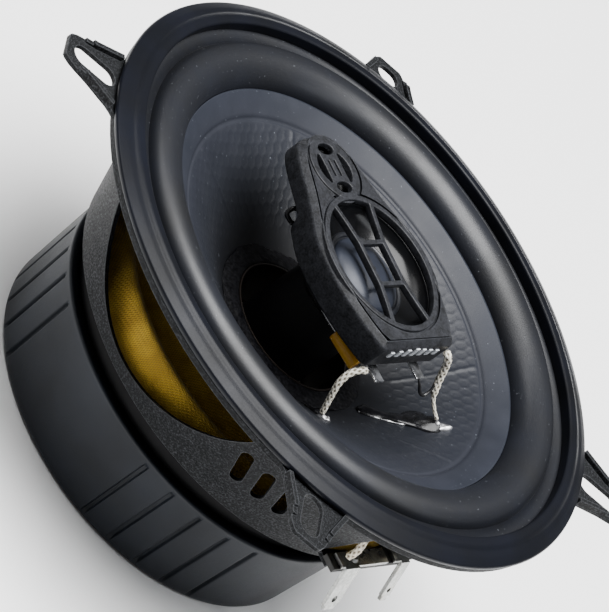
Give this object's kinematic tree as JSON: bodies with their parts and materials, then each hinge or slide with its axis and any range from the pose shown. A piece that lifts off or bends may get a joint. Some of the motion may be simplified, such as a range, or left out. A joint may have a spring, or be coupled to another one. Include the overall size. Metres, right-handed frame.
{
  "type": "coaxial car loudspeaker",
  "caption": "Round coaxial car loudspeaker: vented basket with slotted tabs, rubber-booted magnet, roll surround, cone, and a bridge carrying two tweeters over the neck.",
  "frame": {"origin": "on the speaker axis, in the plane of the flange back face that meets the panel", "axes": "+Z along the axis toward the listener; the four slotted tabs lie on +X, +Y, -X and -Y; the terminals are between +X and -Y"},
  "size_m": [0.1558, 0.1509, 0.0656],
  "materials": {
    "powder_coat": "fine grained grey powder coat",
    "trim_rubber": "satin",
    "surround_rubber": "satin",
    "boot_rubber": "satin",
    "cone_pp": "satin, embossed",
    "black_glue": "matt, lumpy",
    "spider_cloth": "woven",
    "polyimide": "satin",
    "copper_wire": "enamelled copper",
    "black_steel": "satin black",
    "plated_steel": "zinc plated",
    "ferrite": "matt",
    "magnet_plated": "nickel plated",
    "black_plastic": "matt",
    "housing_plastic": "fine grained",
    "gloss_black": "gloss",
    "silver_trim": "satin",
    "small_dome_film": "satin",
    "capacitor_film": "gloss",
    "tinned_wire": "tinned",
    "solder": "dull solder",
    "tinsel_braid": "braided, silver and cream",
    "rear_braid": "braided",
    "board_fibre": "fibre board",
    "tin_plate": "tin plated",
    "wire_jacket": "satin"
  },
  "bodies": {
    "frame": {"basket": "powder_coat", "basket_rivets": "plated_steel", "terminal_board": "board_fibre", "terminal_rivets": "tin_plate", "terminal_positive": "tin_plate", "terminal_negative": "tin_plate", "top_plate": "black_steel", "ferrite_magnet": "ferrite", "t_yoke": "plated_steel", "magnet_boot": "boot_rubber", "post_screw": "plated_steel", "centre_post": "black_plastic", "bridge_base": "black_plastic", "tweeter_housing": "housing_plastic", "badge_bars": "silver_trim", "tweeter_cup": "gloss_black", "tweeter_magnet": "magnet_plated", "tweeter_surround": "surround_rubber", "small_tweeter_cup": "gloss_black", "capacitor": "capacitor_film", "capacitor_leads": "tinned_wire", "solder_lugs": "tin_plate", "trim_ring": "trim_rubber", "surround": "surround_rubber", "spider": "spider_cloth", "tinsel_lead_left": "tinsel_braid", "tinsel_lead_right": "tinsel_braid", "rear_lead_positive": "rear_braid", "rear_lead_negative": "rear_braid", "tweeter_wire": "wire_jacket"},
    "cone_assembly": {"cone": "cone_pp", "neck_glue_ring": "black_glue", "coil_former": "polyimide", "coil_winding": "copper_wire", "solder_pads": "solder", "coil_lead_strips": "black_glue"},
    "large_dome": {"tweeter_dome": "gloss_black", "tweeter_coil": "copper_wire"},
    "small_dome": {"small_tweeter_dome": "small_dome_film"}
  },
  "joints": [
    {"name": "cone_travel", "type": "slide", "parent": "frame", "child": "cone_assembly", "axis": [0, 0, 1], "range_m": [-0.0035, 0.0035], "stiffness_N_per_m": 2000, "deforming": ["surround", "spider", "tinsel_lead_left", "tinsel_lead_right", "rear_lead_positive", "rear_lead_negative"]},
    {"name": "large_dome_travel", "type": "slide", "parent": "frame", "child": "large_dome", "axis": [0, 0, 1], "range_m": [-0.0003, 0.0003], "stiffness_N_per_m": 60, "deforming": ["tweeter_surround"]},
    {"name": "small_dome_travel", "type": "slide", "parent": "frame", "child": "small_dome", "axis": [0, 0, 1], "range_m": [-0.00015, 0.00015], "stiffness_N_per_m": 60}
  ]
}
